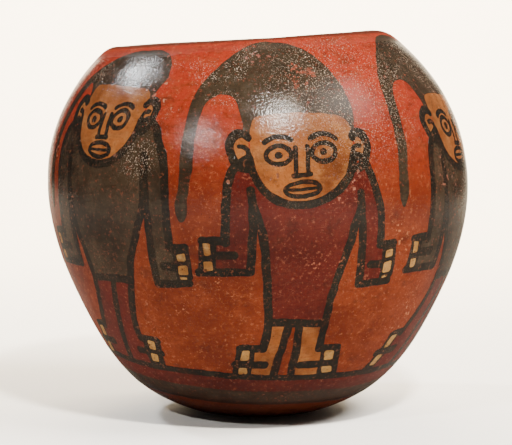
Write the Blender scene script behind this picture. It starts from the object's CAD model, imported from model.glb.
import math
import bpy
import numpy as np
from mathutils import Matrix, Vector


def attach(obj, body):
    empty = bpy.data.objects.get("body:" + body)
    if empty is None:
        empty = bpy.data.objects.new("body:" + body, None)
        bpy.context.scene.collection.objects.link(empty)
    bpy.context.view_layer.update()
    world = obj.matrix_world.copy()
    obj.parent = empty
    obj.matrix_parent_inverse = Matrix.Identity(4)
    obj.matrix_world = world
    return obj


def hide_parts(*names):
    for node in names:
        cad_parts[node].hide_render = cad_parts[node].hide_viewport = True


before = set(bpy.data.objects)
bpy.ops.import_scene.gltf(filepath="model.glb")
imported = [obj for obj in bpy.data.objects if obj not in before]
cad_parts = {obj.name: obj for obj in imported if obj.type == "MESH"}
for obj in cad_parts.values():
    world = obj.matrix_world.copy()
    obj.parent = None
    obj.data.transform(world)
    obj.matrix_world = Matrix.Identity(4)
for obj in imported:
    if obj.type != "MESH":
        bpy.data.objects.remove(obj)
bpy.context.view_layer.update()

# Clay wall
# The bowl's body is one wall of fired red-brown clay, built up by hand and scraped smooth, so it is round
# but never quite true. Its lip slants up to the right, and its inside is wiped with a thin red-brown wash.
# Every length in this file is in metres.
belly_radius = 0.06945
profile_height = 0.1239
rim_height = 0.1243
rim_slope = math.tan(math.radians(3.4))
wall_thickness = 0.0044
lip_thickness = 0.0036
floor_thickness = 0.006
lip_drop = 0.0024
rim_twist = 0.00025
rim_ripple = 0.00012
flattening = 0.00022
flattening_length = 0.055
flattening_seed = 3
scraping = 0.0001
scraping_length = 0.014
scraping_seed = 5
true_foot_height = 0.02
true_foot_radius = 0.03
low_lean = 0.0006
lean_top = 0.085
lean_full_radius = 0.05
least_radius = 0.001
profile_shares = [(0.200, 0.000), (0.402, 0.032), (0.558, 0.081), (0.698, 0.161), (0.828, 0.282),
                  (0.949, 0.444), (1.000, 0.6215), (0.957, 0.767), (0.847, 0.888), (0.706, 0.977),
                  (0.621, 1.017), (0.555, 1.043), (0.485, 1.068)]
rim_row = 10
rest_spot_slope = 0.16
profile_rows = 700
turn_steps = 288

# Each ripple of the lip: its waves round the mouth, its start in radians and its share
rim_ripple_waves = [(3, 0.6, 0.6), (7, 2.0, 0.4)]

# A swell is a sum of waves, whose paces differ within a range. The sum hardly ever passes its peak, which is
# given in standard deviations.
swell_waves = 9
swell_pace = (0.7, 1.35)
swell_peak = 2.2


# The outside of the clay as a smooth curve through its points: rows of radius, height and outward direction
def smooth_profile(points, first_direction, rows):
    points = np.array(points)
    chords = np.diff(points, axis=0)
    gaps = np.hypot(chords[:, 0], chords[:, 1])
    slopes = chords / gaps[:, None]
    count = len(points)
    system = np.eye(count)
    sides = np.zeros((count, 2))
    sides[0] = first_direction / np.linalg.norm(first_direction)
    sides[-1] = slopes[-1]
    for row in range(1, count - 1):
        before, after = gaps[row - 1], gaps[row]
        system[row, row - 1:row + 2] = after, 2 * (before + after), before
        sides[row] = 3 * (after * slopes[row - 1] + before * slopes[row])
    leans = np.linalg.solve(system, sides)
    starts = np.concatenate([[0], np.cumsum(gaps)])
    places = np.linspace(0, starts[-1], rows)
    span = np.clip(np.searchsorted(starts, places, side="right") - 1, 0, count - 2)
    share = ((places - starts[span]) / gaps[span])[:, None]
    left = 1 - share
    gap = gaps[span][:, None]
    path = ((1 + 2 * share) * left ** 2 * points[span]
            + share * left ** 2 * gap * leans[span]
            + share ** 2 * (3 - 2 * share) * points[span + 1]
            - share ** 2 * left * gap * leans[span + 1])
    ways = np.gradient(path, axis=0)
    ways /= np.linalg.norm(ways, axis=1)[:, None]
    return path[:, 0], path[:, 1], ways[:, 1], -ways[:, 0]


profile_points = [(radius * belly_radius, height * profile_height) for radius, height in profile_shares]
row_radius, row_height, row_out_radius, row_out_height = smooth_profile(
    profile_points, np.array([1, rest_spot_slope]), profile_rows)
row_place = np.linspace(0, 1, profile_rows)


# Radius and height at a place along the profile, 0 at the rest spot and 1 past the lip, and a depth outwards
def profile_at(place, depth):
    radius = np.interp(place, row_place, row_radius) + depth * np.interp(place, row_place, row_out_radius)
    height = np.interp(place, row_place, row_height) + depth * np.interp(place, row_place, row_out_height)
    return radius, height


# The place along the profile that is at a height, measured at a depth outwards
def place_at_height(height, depth):
    heights = row_height + depth * row_out_height
    return np.interp(height, np.maximum.accumulate(heights), row_place)


# A soft random swell over space, about -1 to 1, made of slanting waves of nearly one length
def swell(points, length, seed):
    dice = np.random.default_rng(seed)
    total = np.zeros(points.shape[:-1])
    for _ in range(swell_waves):
        way = dice.normal(size=3)
        way *= 2 * math.pi / (length * np.linalg.norm(way)) * dice.uniform(*swell_pace)
        total += np.sin(points @ way + dice.uniform(0, 2 * math.pi))
    return total / math.sqrt(swell_waves / 2) / swell_peak


# The same swell kept between 0 and 1
def hollows(points, length, seed):
    return 0.5 + 0.5 * np.clip(swell(points, length, seed), -1, 1)


# Points of a true round bowl at a turn from the camera's side, a radius and a height
def on_true_bowl(turn, radius, height):
    return np.stack([radius * np.sin(turn), -radius * np.cos(turn), height], axis=-1)


# The same points on this hand-made bowl, flattened here and there, with the lower half a little to the right
def on_bowl(turn, radius, height):
    points = on_true_bowl(turn, radius, height)
    fade = np.clip(height / true_foot_height, 0, 1) * np.clip(radius / true_foot_radius, 0, 1)
    inward = flattening * hollows(points, flattening_length, flattening_seed) * fade
    inward += scraping * hollows(points, scraping_length, scraping_seed) * fade
    kept = 1 - inward / np.maximum(radius, least_radius)
    points[..., 0] *= kept
    points[..., 1] *= kept
    lean = np.sin(math.pi * np.clip(height / lean_top, 0, 1)) * np.clip(radius / lean_full_radius, 0, 1)
    points[..., 0] += low_lean * lean
    return points


# The lip's height round the mouth: slanted up to the right, a little twisted and with a slight ripple
def rim_at(turn):
    rim_radius = profile_shares[rim_row][0] * belly_radius
    twist = rim_twist * (np.sin(2 * turn) - 0.5)
    ripple = rim_ripple * (1 + sum(np.sin(waves * turn + start) * share
                                   for waves, start, share in rim_ripple_waves))
    return rim_height + rim_slope * rim_radius * np.sin(turn) + twist - ripple


# The lip's section for each turn: rows of radius, height and outward direction from outside to inside
def lip_section(turn, shares):
    rim = rim_at(turn)
    low_outside = np.array(profile_at(place_at_height(rim - lip_drop, 0), 0))
    high_outside = np.array(profile_at(place_at_height(rim, 0), 0))
    low_inside = np.array(profile_at(place_at_height(rim - lip_drop, -lip_thickness), -lip_thickness))
    high_inside = np.array(profile_at(place_at_height(rim, -lip_thickness), -lip_thickness))
    middle = (high_outside + high_inside) / 2
    rows = []
    for share in shares:
        if share > 0.5:
            first, corner, last = middle, high_inside, low_inside
            part = 2 * share - 1
        else:
            first, corner, last = low_outside, high_outside, middle
            part = 2 * share
        spot = (1 - part) ** 2 * first + 2 * part * (1 - part) * corner + part ** 2 * last
        way = 2 * (1 - part) * (corner - first) + 2 * part * (last - corner)
        way = way / np.linalg.norm(way, axis=0)
        rows.append((spot[0], spot[1], way[1], -way[0]))
    return rows


# Rings of points joined into one closed skin. A ring of one point closes a pole, and where there is no pole
# the last ring is joined to the first.
def skin_of_rings(name, rings):
    vertices = []
    starts = []
    for ring in rings:
        starts.append(len(vertices))
        vertices.extend(ring.tolist())
    next_rows = list(range(1, len(rings)))
    if len(rings[0]) > 1:
        next_rows.append(0)
    faces = []
    for row, next_row in enumerate(next_rows):
        low, high = starts[row], starts[next_row]
        for step in range(turn_steps):
            after = (step + 1) % turn_steps
            if len(rings[row]) == 1:
                faces.append((low, high + after, high + step))
            elif len(rings[next_row]) == 1:
                faces.append((low + step, low + after, high))
            else:
                faces.append((low + step, low + after, high + after, high + step))
    mesh = bpy.data.meshes.new(name)
    mesh.from_pydata(vertices, [], faces)
    mesh.polygons.foreach_set("use_smooth", [True] * len(mesh.polygons))
    mesh.validate()
    mesh.update()
    return mesh


# A finished piece on the bowl's one body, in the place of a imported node
def add_piece(name, mesh, material, node):
    piece = bpy.data.objects.new(name, mesh)
    bpy.context.scene.collection.objects.link(piece)
    mesh.materials.append(material)
    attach(piece, "root")
    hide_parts(node)


# One socket of a material, so that sums of sockets can be written out as sums
class Signal:
    def __init__(self, recipe, socket):
        self.recipe = recipe
        self.socket = socket

    def joined(self, operation, first, second):
        node = self.recipe.make("ShaderNodeMath", {"operation": operation}, {0: first, 1: second})
        return Signal(self.recipe, node.outputs[0])

    def __add__(self, other):
        return self.joined("ADD", self, other)

    def __radd__(self, other):
        return self.joined("ADD", other, self)

    def __sub__(self, other):
        return self.joined("SUBTRACT", self, other)

    def __rsub__(self, other):
        return self.joined("SUBTRACT", other, self)

    def __mul__(self, other):
        return self.joined("MULTIPLY", self, other)

    def __rmul__(self, other):
        return self.joined("MULTIPLY", other, self)

    # A soft step from nought at the first value to one at the second, which may be the lower of the two
    def over(self, nought_at, one_at):
        node = self.recipe.make("ShaderNodeMapRange", {"clamp": True, "interpolation_type": "SMOOTHSTEP"},
                                {"Value": self, "From Min": nought_at, "From Max": one_at})
        return Signal(self.recipe, node.outputs["Result"])


# A material in the making: every node comes from make, with its settings first and then its sockets. A scale
# says about how many spots of a pattern lie in a metre.
class Recipe:
    def __init__(self, name):
        self.material = bpy.data.materials.new(name)
        self.material.use_nodes = True
        self.tree = self.material.node_tree
        self.tree.nodes.clear()
        self.place = self.make("ShaderNodeTexCoord", {}, {}).outputs["Object"]
        parts = self.make("ShaderNodeSeparateXYZ", {}, {0: self.place}).outputs
        self.across = Signal(self, parts["X"])
        self.height = Signal(self, parts["Z"])

    def make(self, kind, settings, sockets):
        node = self.tree.nodes.new(kind)
        for key, value in settings.items():
            setattr(node, key, value)
        for key, value in sockets.items():
            if isinstance(value, Signal):
                value = value.socket
            if isinstance(value, bpy.types.NodeSocket):
                self.tree.links.new(value, node.inputs[key])
            else:
                node.inputs[key].default_value = value
        return node

    def noise(self, scale, detail=2.0, roughness=0.5, stretch=None):
        place = self.place
        if stretch:
            place = self.make("ShaderNodeMapping", {}, {"Vector": place, "Scale": stretch}).outputs[0]
        node = self.make("ShaderNodeTexNoise", {}, {
            "Vector": place, "Scale": scale, "Detail": detail, "Roughness": roughness})
        return Signal(self, node.outputs["Fac"])

    # Chips with ragged outlines, of which size is the share of their spacing
    def chips(self, scale, size):
        ragged = self.make("ShaderNodeTexNoise", {}, {
            "Vector": self.place, "Scale": scale * 1.6, "Detail": 1.0})
        pushed = self.make("ShaderNodeVectorMath", {"operation": "MULTIPLY_ADD"}, {
            0: ragged.outputs["Color"], 1: (0.9 / scale,) * 3, 2: self.place})
        node = self.make("ShaderNodeTexVoronoi", {}, {"Vector": pushed.outputs[0], "Scale": scale})
        return 1 - Signal(self, node.outputs["Distance"]).over(size * 0.7, size)

    # Fine grains; the higher the threshold, the fewer they are
    def grains(self, scale, threshold):
        return self.noise(scale, 1, 0.5).over(threshold, threshold + 0.05)

    # One inside a round spot, fading to nought at its reach; the turn is in degrees to the right
    def near(self, turn, height, reach):
        radius = np.interp(height, row_height, row_radius)
        spot = tuple(on_true_bowl(math.radians(turn), radius, height))
        node = self.make("ShaderNodeVectorMath", {"operation": "DISTANCE"}, {0: self.place, 1: spot})
        return Signal(self, node.outputs["Value"]).over(reach, reach * 0.3)

    def blend(self, factor, first, second):
        node = self.make("ShaderNodeMix", {"data_type": "RGBA"}, {0: factor, 6: first, 7: second})
        return node.outputs[2]

    # A chalky surface and a polished one in a mix, of which shine is the polished share
    def finish(self, colour, roughness, relief, strength, relief_depth, shine=0.2):
        bump = self.make("ShaderNodeBump", {}, {
            "Height": relief, "Strength": strength, "Distance": relief_depth})
        chalky = self.make("ShaderNodeBsdfPrincipled", {}, {
            "Base Color": colour, "Roughness": 0.9, "Specular IOR Level": 0.0, "Normal": bump.outputs[0]})
        polished = self.make("ShaderNodeBsdfPrincipled", {}, {
            "Base Color": colour, "Roughness": roughness, "Normal": bump.outputs[0]})
        mixed = self.make("ShaderNodeMixShader", {}, {
            0: shine, 1: chalky.outputs[0], 2: polished.outputs[0]})
        self.make("ShaderNodeOutputMaterial", {}, {"Surface": mixed.outputs[0]})
        return self.material


# The share of its colour on a screen that a slip gives back, so that it isn't pale under strong lights
slip_depth = 0.31


# A colour given as it looks on a screen, out of 255
def colour(red, green, blue, depth=slip_depth):
    shares = [value / 255 for value in (red, green, blue)]
    linear = [share / 12.92 if share < 0.04045 else ((share + 0.055) / 1.055) ** 2.4 for share in shares]
    return tuple(depth * share for share in linear) + (1.0,)


clay = Recipe("fired_clay")
clay_cloud = clay.noise(60, 3).over(0.35, 0.65)
clay_grit = clay.chips(900, 0.28)
clay_under_rim = clay.height - clay.across * rim_slope
clay_stain = clay_under_rim.over(rim_height - 0.006, rim_height - 0.002)
clay_lines = clay.noise(170, 2, 0.5, (1, 1, 7))
clay_tone = clay.blend(clay_cloud, colour(120, 58, 36), colour(150, 78, 50))
clay_tone = clay.blend(clay_grit * 0.5, clay_tone, colour(196, 132, 96))
clay_tone = clay.blend(clay_stain * 0.8, clay_tone, colour(96, 44, 28))
clay_relief = clay_lines * 0.5 + clay.noise(1200, 2) * 0.3 - clay_grit * 0.4
clay_material = clay.finish(clay_tone, clay_cloud * 0.15 + 0.55, clay_relief, strength=0.35,
                            relief_depth=0.0004)

turns = np.arange(turn_steps) * (2 * math.pi / turn_steps)
outside_rows = 60
lip_rows = 17
inside_rows = 100
inside_end_place = 0.16
rest_spot_shares = (0.3, 0.6, 0.85)
bowl_floor_shares = (0.85, 0.7, 0.55, 0.4, 0.25, 0.1)
bowl_floor_power = 2.2
middle_turn = np.zeros(1)
place_under_lip = place_at_height(rim_at(turns) - lip_drop, 0)
rings = [on_bowl(middle_turn, np.zeros(1), np.zeros(1))]
for share in rest_spot_shares:
    rings.append(on_bowl(turns, np.full(turn_steps, row_radius[0] * share), np.zeros(turn_steps)))
for share in np.linspace(0, 1, outside_rows)[:-1]:
    rings.append(on_bowl(turns, *profile_at(place_under_lip * share, 0)))
for radius, height, _, _ in lip_section(turns, np.linspace(0, 1, lip_rows)):
    rings.append(on_bowl(turns, radius, height))
inside_top = place_at_height(rim_at(turns) - lip_drop, -lip_thickness)
for share in np.linspace(0, 1, inside_rows)[1:]:
    depth = -(lip_thickness + (wall_thickness - lip_thickness) * min(1, share * 2))
    radius, height = profile_at(inside_top + (inside_end_place - inside_top) * share, depth)
    rings.append(on_bowl(turns, radius, height))
for share in bowl_floor_shares:
    eased = floor_thickness + (height - floor_thickness) * share ** bowl_floor_power
    rings.append(on_bowl(turns, radius * share, eased))
rings.append(on_bowl(middle_turn, np.zeros(1), np.full(1, floor_thickness)))
add_piece("clay_wall", skin_of_rings("clay_wall", rings), clay_material, "clay_body")

# Orange-red ground
# A coat of fine orange-red clay slip was wiped over the whole outside and a little over the lip, then rubbed
# with a smooth pebble before firing. It is worn away on the rest spot and pitted by use.
ground_coat = 0.00025
ground_start_height = 0.0012
ground_start_wobble = 0.0006
ground_start_length = 0.02
ground_start_radius = 0.02
ground_start_seed = 8
ground_lip_share = 0.40
ground_rows = 120
ground_lip_rows = 7
edge_thickness_share = 0.15
edge_thickening = 40
lip_thinning = 0.8

# Where the slips differ over the bowl. Each pair is the height at which a change starts and the height at
# which it is full; for the lip and the band that hands have rubbed they are drops below the rim.
red_heights = (0.068, 0.115)
polish_heights = (0.060, 0.098)
damp_heights = (0.088, 0.112)
foot_heights = (0.022, 0.004)
lip_drops = (0.0013, 0.0004)
handled_drops = (0.005, 0.001)

# Spots of wear, each with its turn in degrees to the right, its height and its reach
scurf_spot = (27, 0.108, 0.034)
damp_spot = (-32, 0.088, 0.009)
scratched_spots = [(-16, 0.083, 0.013), (-6, 0.046, 0.015)]

grime_colour = colour(62, 34, 24)
pit_colour = colour(44, 25, 20)
salt_colour = colour(226, 200, 176)
foot_colour = colour(44, 22, 15)
lip_colour = colour(84, 40, 26)
slip_relief_strength = 0.45
slip_relief_depth = 0.00035
scratch_lines = 24
scratch_width = 0.035


# The wear that all the slips share: cloudy firing, brush streaks, chips, dark pits, fine scratches, pale
# grains of salt where the air was damp, and a polish that is worn off low down and along the lip. The more
# flaking, the more of the coat is chipped.
def slip_material(name, dark, base, light, worn, upper, upper_amount, wear, salt_amount, roughness,
                  flaking=0.0, rubbed_spots=()):
    slip = Recipe(name)
    cloud = slip.noise(38, 3, 0.55)
    mottle = slip.noise(210, 4, 0.6)
    streak = slip.noise(150, 3, 0.6, (1, 1, 5))
    freckle = slip.noise(900, 3, 0.7)
    grain = slip.noise(1500, 2, 0.7)
    grime = slip.noise(130, 4, 0.75).over(0.53, 0.68)
    worn_area = slip.noise(70, 3, 0.6)
    chips = slip.chips(430, 0.26) * worn_area.over(0.60 - flaking, 0.66 - flaking)
    fine_chips = slip.grains(1700, 0.69) * worn_area.over(0.52 - flaking, 0.64 - flaking)
    pits = slip.grains(1900, 0.70) * slip.noise(95, 2).over(0.45, 0.6)

    under_rim = slip.height - slip.across * rim_slope
    lip = under_rim.over(*[rim_height - drop for drop in lip_drops])
    handled = under_rim.over(*[rim_height - drop for drop in handled_drops])
    foot = slip.height.over(*foot_heights)
    scurf = slip.near(*scurf_spot)
    damp = slip.noise(75, 3, 0.6).over(0.48, 0.66) * (slip.height.over(*damp_heights) * 0.88 + 0.12)
    salt = slip.grains(2600, 0.62) * (damp + scurf + slip.near(*damp_spot))
    scratch_path = slip.noise(70, 3, 0.55, (1, 1, 1.6)) * scratch_lines
    scratch_area = slip.noise(34, 1).over(0.58, 0.66)
    for spot in scratched_spots:
        scratch_area = scratch_area + slip.near(*spot)
    scratch = scratch_path.joined("PINGPONG", scratch_path, 1.0).over(scratch_width, 0.0) * scratch_area

    tone = slip.blend(cloud.over(0.35, 0.65), dark, base)
    tone = slip.blend(slip.height.over(*red_heights) * upper_amount, tone, upper)
    tone = slip.blend((mottle * 0.6 + streak * 0.4).over(0.45, 0.68) * 0.55, tone, light)
    tone = slip.blend(mottle.over(0.42, 0.30) * 0.5, tone, dark)
    tone = slip.blend(streak.over(0.50, 0.66) * 0.4, tone, dark)
    tone = slip.blend(grime * 0.4, tone, grime_colour)
    tone = slip.blend(freckle.over(0.46, 0.30) * 0.6, tone, dark)
    tone = slip.blend(freckle.over(0.56, 0.72) * 0.35, tone, worn)
    tone = slip.blend(chips * wear, tone, worn)
    tone = slip.blend(fine_chips * wear, tone, worn)
    tone = slip.blend(scratch * 0.45, tone, worn)
    tone = slip.blend(pits * 0.75, tone, pit_colour)
    tone = slip.blend(salt * salt_amount, tone, salt_colour)
    for spot in rubbed_spots:
        rubbed = (slip.near(*spot) * 0.35 + mottle * 0.7 + freckle * 0.7).over(1.02, 1.16)
        tone = slip.blend(rubbed * 0.65, tone, worn)
    tone = slip.blend(foot * 0.85, tone, foot_colour)
    tone = slip.blend(lip * 0.85, tone, lip_colour)

    worn_dull = chips * 0.4 + fine_chips * 0.3 + salt * 0.3
    dull = worn_dull + mottle.over(0.4, 0.7) * 0.1 + handled * 0.5 + roughness
    raised = grain * 0.58 + (freckle + mottle + streak + salt) * 0.25
    relief = raised - chips * 0.9 - (fine_chips + pits) * 0.5
    shine = (slip.height.over(*polish_heights) * 0.36 + 0.06) * (1 - handled * 0.9) * (1 - scurf * 0.7)
    return slip.finish(tone, dull, relief, slip_relief_strength, slip_relief_depth, shine)


ground_material = slip_material(
    "orange_red_slip", dark=colour(114, 44, 26), base=colour(143, 61, 34), light=colour(166, 80, 48),
    worn=colour(222, 142, 96), upper=colour(190, 62, 42), upper_amount=0.8,
    wear=0.6, salt_amount=0.5, roughness=0.09)
start_path = on_true_bowl(turns, np.full(turn_steps, ground_start_radius), np.zeros(turn_steps))
start_wobble = ground_start_wobble * swell(start_path, ground_start_length, ground_start_seed)
start_height = ground_start_height + start_wobble
place_start = place_at_height(start_height, 0)
lip_cover = np.linspace(0, ground_lip_share, ground_lip_rows)
outer_rings = []
inner_rings = []
for share in np.linspace(0, 1, ground_rows)[:-1]:
    place = place_start + (place_under_lip - place_start) * share
    coat = ground_coat * min(1, share * edge_thickening + edge_thickness_share)
    outer_rings.append(on_bowl(turns, *profile_at(place, coat)))
    inner_rings.append(on_bowl(turns, *profile_at(place, 0)))
for share, (radius, height, out_radius, out_height) in zip(lip_cover, lip_section(turns, lip_cover)):
    coat = ground_coat * (1 - lip_thinning * share / ground_lip_share)
    outer_rings.append(on_bowl(turns, radius + coat * out_radius, height + coat * out_height))
    inner_rings.append(on_bowl(turns, radius, height))
ground_mesh = skin_of_rings("ground_coat", outer_rings + inner_rings[::-1])
add_piece("ground_coat", ground_mesh, ground_material, "ground_slip")

# Brown paint
# Six figures and two bands were painted on the leather-hard ground in five more slips and rubbed flush with
# it. The brown-black slip is thin and dark: hair, every second tunic and the lower band.
paint_top = 0.00031
paint_bottom = 0.00018
solid_paint_depth = 0.00045
solid_paint_least = 0.00035
welds_per_metre = 1e6
longest_edge = 0.002
edge_halvings = 8
normal_nudge = 0.002
least_paint_radius = 0.01

# The brush never follows the drawing quite. Each pair is how far it strays and over what length: a slow
# drift of the hand, a quicker one of the fingers, and the tremble of the bristles.
brush_waves = [(0.0005, 0.030), (0.00016, 0.0055), (0.00007, 0.0024), (0.00007, 0.0015)]
across_seed = 21
along_seed = 31


# The three sides of each triangle, as pairs of point numbers
def sides_of(triangles):
    return np.concatenate([triangles[:, [0, 1]], triangles[:, [1, 2]], triangles[:, [2, 0]]])


# Triangles with their long edges halved until none is longer than the given length
def with_short_edges(points, triangles, longest):
    for _ in range(edge_halvings):
        edges, index = np.unique(np.sort(sides_of(triangles), axis=1), axis=0, return_inverse=True)
        index = index.reshape(3, -1)
        lengths = np.linalg.norm(points[edges[:, 0]] - points[edges[:, 1]], axis=1)
        long = lengths > longest
        if not long.any():
            break
        middle = np.full(len(edges), -1)
        middle[long] = len(points) + np.arange(long.sum())
        points = np.concatenate([points, (points[edges[long, 0]] + points[edges[long, 1]]) / 2])
        halves = middle[index].T
        count = (halves >= 0).sum(axis=1)
        made = [triangles[count == 0]]
        for pattern in range(3):
            one = (count == 1) & (halves[:, pattern] >= 0)
            first, second, third = (triangles[one][:, (pattern + step) % 3] for step in range(3))
            half = halves[one][:, pattern]
            made += [np.stack([first, half, third], 1), np.stack([half, second, third], 1)]
            two = (count == 2) & (halves[:, pattern] < 0)
            first, second, third = (triangles[two][:, (pattern + step) % 3] for step in range(3))
            right = halves[two][:, (pattern + 1) % 3]
            left = halves[two][:, (pattern + 2) % 3]
            made += [np.stack([third, left, right], 1), np.stack([first, second, right], 1),
                     np.stack([first, right, left], 1)]
        three = count == 3
        first, second, third = triangles[three].T
        low, right, left = halves[three].T
        made += [np.stack([first, low, left], 1), np.stack([low, second, right], 1),
                 np.stack([left, right, third], 1), np.stack([low, right, left], 1)]
        triangles = np.concatenate(made)
    return points, triangles


# How far the brush strays at each point, in one of its two directions
def stray(points, first_seed):
    return sum(size * swell(points, length, first_seed + number)
               for number, (size, length) in enumerate(brush_waves))


# The turn and the place along the profile to which the brush carried each point of the drawing
def brushed(turn, place):
    radius, height = profile_at(place, ground_coat)
    points = on_true_bowl(turn, radius, height)
    profile_length = np.hypot(np.diff(row_radius), np.diff(row_height)).sum()
    return (turn + stray(points, across_seed) / np.maximum(radius, least_paint_radius),
            place + stray(points, along_seed) / profile_length)


# Each point's patch of paint, named by the lowest point number that it is joined to
def patches_of(count, triangles):
    patch = np.arange(count)
    while True:
        joined = patch.copy()
        np.minimum.at(joined, triangles.reshape(-1), np.repeat(patch[triangles].min(axis=1), 3))
        joined = joined[joined]
        if (joined == patch).all():
            return patch
        patch = joined


# The points and triangles of a node's solids, with the points that lie at one place welded
def welded_solids(node):
    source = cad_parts[node].data
    points = np.empty(len(source.vertices) * 3)
    source.vertices.foreach_get("co", points)
    points = points.reshape(-1, 3)
    source.calc_loop_triangles()
    triangles = np.empty(len(source.loop_triangles) * 3, dtype=np.int64)
    source.loop_triangles.foreach_get("vertices", triangles)
    grid = np.round(points * welds_per_metre).astype(np.int64)
    _, first_use, merged = np.unique(grid, axis=0, return_index=True, return_inverse=True)
    return points[first_use], merged.reshape(-1)[triangles].reshape(-1, 3)


# A node's painted faces, cut finer, brushed, laid on the bowl and given a back and edges. With a half of -1
# or 1 it takes only the patches at the front or at the back.
def paint_mesh(name, node, half=0):
    points, triangles = welded_solids(node)
    radius = np.hypot(points[:, 0], points[:, 1])
    place = place_at_height(points[:, 2], solid_paint_depth)
    spot_radius, spot_height = profile_at(place, 0)
    depth = ((radius - spot_radius) * np.interp(place, row_place, row_out_radius)
             + (points[:, 2] - spot_height) * np.interp(place, row_place, row_out_height))
    outer = (depth[triangles] > solid_paint_least).all(axis=1)
    distinct = (triangles != triangles[:, [1, 2, 0]]).all(axis=1)
    triangles = triangles[outer & distinct]
    if half:
        patch = patches_of(len(points), triangles)[triangles[:, 0]]
        triangle_counts = np.maximum(np.bincount(patch), 1)
        middle = np.bincount(patch, points[triangles[:, 0], 1]) / triangle_counts
        triangles = triangles[np.sign(middle[patch]) == half]
    points, triangles = with_short_edges(points, triangles, longest_edge)
    used, triangles = np.unique(triangles, return_inverse=True)
    triangles = triangles.reshape(-1, 3)
    points = points[used]
    turn = np.arctan2(points[:, 0], -points[:, 1])
    turn, place = brushed(turn, place_at_height(points[:, 2], solid_paint_depth))

    def laid(turn_shift, place_shift, depth):
        return on_bowl(turn + turn_shift, *profile_at(place + place_shift, depth))

    outward = np.cross(laid(normal_nudge, 0, paint_top) - laid(-normal_nudge, 0, paint_top),
                       laid(0, normal_nudge, paint_top) - laid(0, -normal_nudge, paint_top))
    outward /= np.linalg.norm(outward, axis=1)[:, None]
    count = len(points)
    sides = sides_of(triangles)
    keys = sides[:, 0] * count + sides[:, 1]
    back_keys = sides[:, 1] * count + sides[:, 0]
    rim = sides[~np.isin(keys, back_keys)]
    walls = np.concatenate([np.stack([rim[:, 1], rim[:, 0], rim[:, 0] + count], 1),
                            np.stack([rim[:, 1], rim[:, 0] + count, rim[:, 1] + count], 1)])
    backs = triangles[:, ::-1]
    vertices = np.concatenate([laid(0, 0, paint_top), laid(0, 0, paint_bottom)])
    faces = np.concatenate([triangles, backs + count, walls])
    mesh = bpy.data.meshes.new(name)
    mesh.from_pydata(vertices.tolist(), [], faces.tolist())
    mesh.polygons.foreach_set("use_smooth", [True] * len(mesh.polygons))
    directions = np.concatenate([outward[triangles.reshape(-1)], -outward[backs.reshape(-1)],
                                 outward[walls.reshape(-1) % count]])
    mesh.normals_split_custom_set(directions.tolist())
    mesh.update()
    return mesh


brown_material = slip_material(
    "brown_slip", dark=colour(50, 40, 31), base=colour(77, 62, 47), light=colour(98, 82, 64),
    worn=colour(196, 92, 66), upper=colour(68, 57, 45), upper_amount=0.6,
    wear=0.5, salt_amount=0.8, roughness=0.09, rubbed_spots=[(13.0, 0.113, 0.009)])
brown_mesh = paint_mesh("brown_paint", "brown_slip")
add_piece("brown_paint", brown_mesh, brown_material, "brown_slip")

# Maroon paint
# A darker, redder slip than the ground's, brushed on for the other tunics, every second pair of legs and the
# upper band.
maroon_material = slip_material(
    "maroon_slip", dark=colour(80, 30, 25), base=colour(104, 38, 30), light=colour(122, 52, 38),
    worn=colour(212, 128, 96), upper=colour(126, 40, 36), upper_amount=0.6,
    wear=0.6, salt_amount=0.3, roughness=0.13)
maroon_mesh = paint_mesh("maroon_paint", "maroon_slip")
add_piece("maroon_paint", maroon_mesh, maroon_material, "maroon_slip")

# Ochre paint
# A yellowish clay slip, brushed on for the faces, the ears and the other legs. It lies a little uneven, so
# the streaks of the brush show more in it.
ochre_material = slip_material(
    "ochre_slip", dark=colour(118, 62, 32), base=colour(180, 106, 54), light=colour(214, 150, 90),
    worn=colour(112, 58, 34), upper=colour(168, 104, 58), upper_amount=0.4,
    wear=0.7, salt_amount=0.5, roughness=0.12)
ochre_mesh = paint_mesh("ochre_paint", "ochre_slip")
add_piece("ochre_paint", ochre_mesh, ochre_material, "ochre_slip")

# Cream paint
# A pale clay slip, dabbed on for the nails of the fingers and toes. It holds on worse than the others, so
# much of it has flaked down to the brown below.
cream_material = slip_material(
    "cream_slip", dark=colour(150, 98, 50), base=colour(204, 152, 86), light=colour(228, 192, 132),
    worn=colour(84, 46, 30), upper=colour(210, 164, 100), upper_amount=0.4,
    wear=0.85, salt_amount=0.3, roughness=0.22, flaking=0.3)
cream_mesh = paint_mesh("cream_paint", "cream_slip")
add_piece("cream_paint", cream_mesh, cream_material, "cream_slip")

# Black lines
# The outlines were drawn last, round every patch of colour, with a loaded brush and a near-black slip.
# They are two pieces, the front and the back of the ring, only so that neither mesh is too heavy.
black_material = slip_material(
    "black_slip", dark=colour(34, 29, 24), base=colour(46, 40, 33), light=colour(64, 56, 45),
    worn=colour(190, 110, 76), upper=colour(52, 48, 41), upper_amount=0.5,
    wear=0.5, salt_amount=0.8, roughness=0.09, flaking=0.03)
for name, half in (("black_lines_front", -1), ("black_lines_back", 1)):
    add_piece(name, paint_mesh(name, "black_slip", half), black_material, "black_slip")

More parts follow.
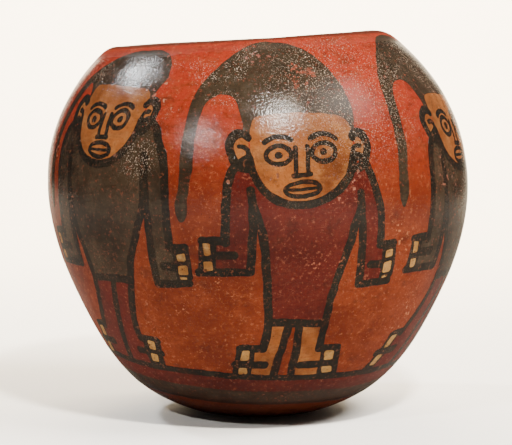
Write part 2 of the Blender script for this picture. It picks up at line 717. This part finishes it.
# Floor
# A plain pale sweep that rises behind the bowl, so that the ground fades into the background. It is clear
# from behind, so that it doesn't hide the bowl's back.
floor_half_width = 0.5
floor_front = -0.5
sweep_half_width = 0.32
sweep_top = 1.6
bend_start = 0.5
bend_radius = 0.5
bend_steps = 12
floor_rows = [(floor_front, 0.0), (bend_start, 0.0)]
for step in range(1, bend_steps + 1):
    angle = step * math.pi / (2 * bend_steps)
    floor_rows.append((bend_start + bend_radius * math.sin(angle), bend_radius * (1 - math.cos(angle))))
floor_rows.append((bend_start + bend_radius, sweep_top))
floor_points = [(side * (sweep_half_width if z > 0 else floor_half_width), y, z)
                for y, z in floor_rows for side in (-1, 1)]
floor_faces = [(low, low + 1, low + 3, low + 2) for low in range(0, len(floor_points) - 2, 2)]
floor_mesh = bpy.data.meshes.new("floor")
floor_mesh.from_pydata(floor_points, [], floor_faces)
floor_mesh.polygons.foreach_set("use_smooth", [True] * len(floor_mesh.polygons))
paper = Recipe("pale_floor")
paper_grain = paper.noise(900, 2)
paper_tone = paper.blend(paper_grain, colour(243, 240, 234, 1.0), colour(248, 245, 239, 1.0))
paper_material = paper.finish(paper_tone, paper_grain * 0.1 + 0.8, paper_grain, strength=0.05,
                              relief_depth=0.0003)
surface = paper.tree.get_output_node("ALL").inputs["Surface"]
seen_from_behind = paper.make("ShaderNodeNewGeometry", {}, {}).outputs["Backfacing"]
clear = paper.make("ShaderNodeBsdfTransparent", {}, {}).outputs[0]
one_sided = paper.make("ShaderNodeMixShader", {}, {
    0: seen_from_behind, 1: surface.links[0].from_socket, 2: clear})
paper.tree.links.new(one_sided.outputs[0], surface)
floor_mesh.materials.append(paper_material)
floor = bpy.data.objects.new("floor", floor_mesh)
bpy.context.scene.collection.objects.link(floor)

# Light
# Soft boxes stand where the gloss on the bowl shows them: above in front, to the left, behind on the left
# and far to the right, and one more lights the sweep. The room is dim, though the camera sees it pale.
bowl_middle = (0, 0, 0.09)
room_light = 0.08


# The place of a light at a turn to the right of the camera's side and a rise, both in degrees
def around_bowl(turn, rise, distance):
    rise = math.radians(rise)
    across, back, _ = on_true_bowl(math.radians(turn), distance * math.cos(rise), 0.0)
    return (across, back, bowl_middle[2] + distance * math.sin(rise))


def add_light(name, place, target, size, power, tint):
    data = bpy.data.lights.new(name, "AREA")
    data.shape = "RECTANGLE"
    data.size, data.size_y = size
    data.energy = power
    data.color = tint
    lamp = bpy.data.objects.new(name, data)
    bpy.context.scene.collection.objects.link(lamp)
    lamp.location = place
    away = Vector(place) - Vector(target)
    lamp.rotation_euler = away.to_track_quat("Z", "Y").to_euler()


add_light("front_box", around_bowl(18, 46, 0.9), bowl_middle, (0.085, 0.065), 21, (1, 0.93, 0.83))
add_light("left_box", around_bowl(-32, 31, 1.0), bowl_middle, (0.03, 0.03), 5, (1, 0.98, 0.95))
add_light("left_back_box", around_bowl(-112, 44, 0.9), bowl_middle, (0.08, 0.08), 7, (0.96, 0.98, 1))
add_light("right_box", around_bowl(66, 46, 1.0), bowl_middle, (0.5, 0.35), 21, (1, 0.96, 0.9))
add_light("backdrop_box", (0, 0.45, 0.85), (0, 1.0, 0.45), (0.6, 0.2), 66, (1, 0.82, 0.58))
world = bpy.data.worlds.new("pale_room")
world.use_nodes = True
room = world.node_tree.nodes["Background"]
room.inputs["Color"].default_value = (1.0, 0.97, 0.93, 1)
seen = world.node_tree.nodes.new("ShaderNodeLightPath")
strength = world.node_tree.nodes.new("ShaderNodeMath")
strength.operation = "ADD"
strength.inputs[1].default_value = room_light
world.node_tree.links.new(seen.outputs["Is Camera Ray"], strength.inputs[0])
world.node_tree.links.new(strength.outputs[0], room.inputs["Strength"])
bpy.context.scene.world = world

# Camera
# It stands level with the lip, two thirds of a metre away, and looks slightly down.
camera_distance = 0.66
camera_height = 0.124
look_down = 5.28
lens_data = bpy.data.cameras.new("camera")
lens_data.sensor_width = 36
lens_data.lens = 139.8
lens_data.shift_x = -0.0020
camera = bpy.data.objects.new("camera", lens_data)
camera.location = (0, -camera_distance, camera_height)
camera.rotation_euler = (math.radians(90 - look_down), 0, 0)
bpy.context.scene.collection.objects.link(camera)
bpy.context.scene.camera = camera
